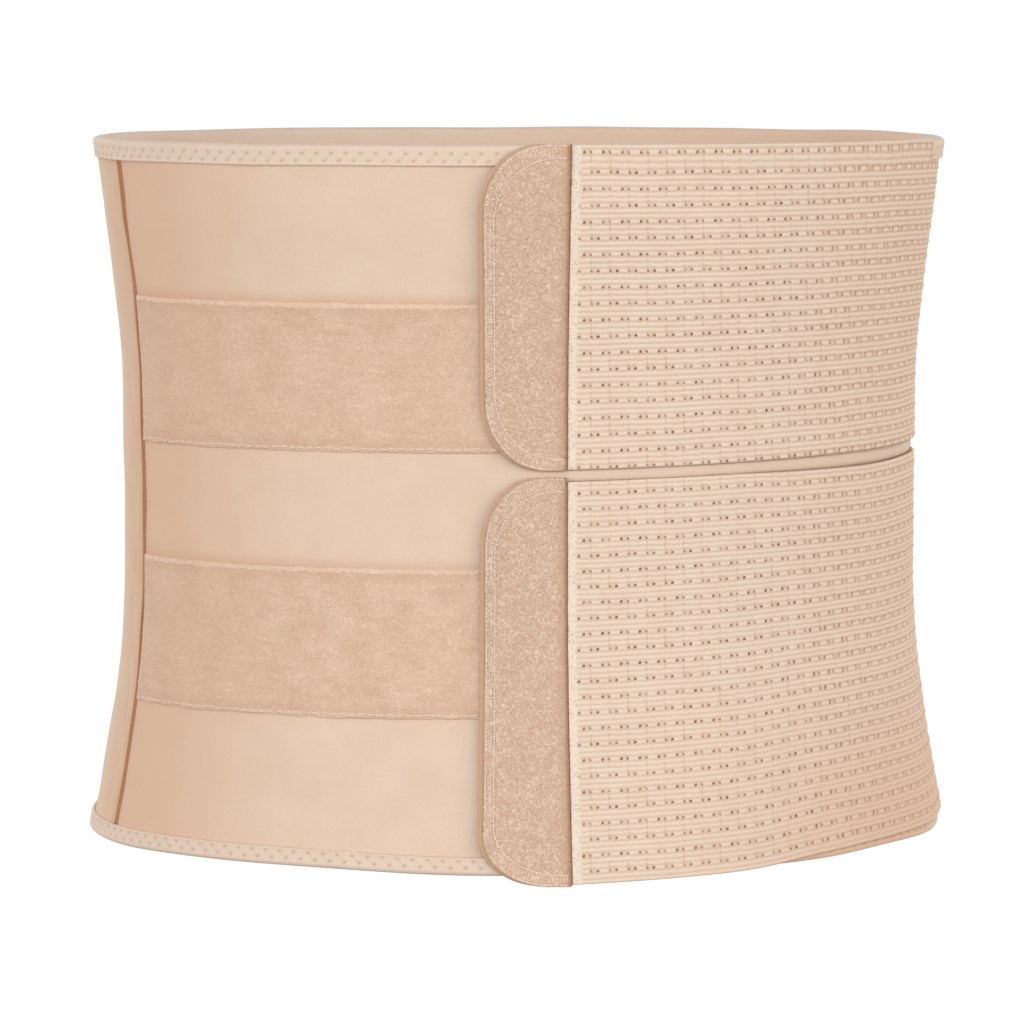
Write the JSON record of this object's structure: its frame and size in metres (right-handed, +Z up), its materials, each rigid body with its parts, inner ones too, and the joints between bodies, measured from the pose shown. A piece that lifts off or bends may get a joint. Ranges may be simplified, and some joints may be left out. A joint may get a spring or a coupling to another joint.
{
  "type": "abdominal binder",
  "caption": "Closed abdominal support belt shaped round a waist, with loop strips across the front and ribbed elastic straps that close over it with rounded hook-and-loop tabs.",
  "frame": {"origin": "centre of the waist opening, halfway up the belt", "axes": "+Z up along the wearer's body, -Y out of the front of the belt, +X towards the side that the straps come round"},
  "size_m": [0.2987, 0.2321, 0.2472],
  "materials": {
    "panel": "smooth matt stretch fabric, fine weave",
    "hem": "folded binding with zigzag stitching",
    "seam": "sunk seam thread, matt",
    "loop_tape": "short plush loop pile",
    "elastic": "ribbed elastic with rows of eyelets",
    "hook_tape": "woven hook tape, slightly glossy hooks",
    "tab_plush": "dense curly plush with a stitched border"
  },
  "bodies": {
    "root": {"front_panel": "panel", "back_panel": "panel", "side_seam": "seam", "hem_top": "hem", "hem_bottom": "hem", "loop_strip_upper": "loop_tape", "loop_strip_lower": "loop_tape", "strap_upper": "elastic", "strap_lower": "elastic", "hook_upper": "hook_tape", "hook_lower": "hook_tape", "tab_upper": "tab_plush", "tab_lower": "tab_plush"}
  },
  "joints": []
}
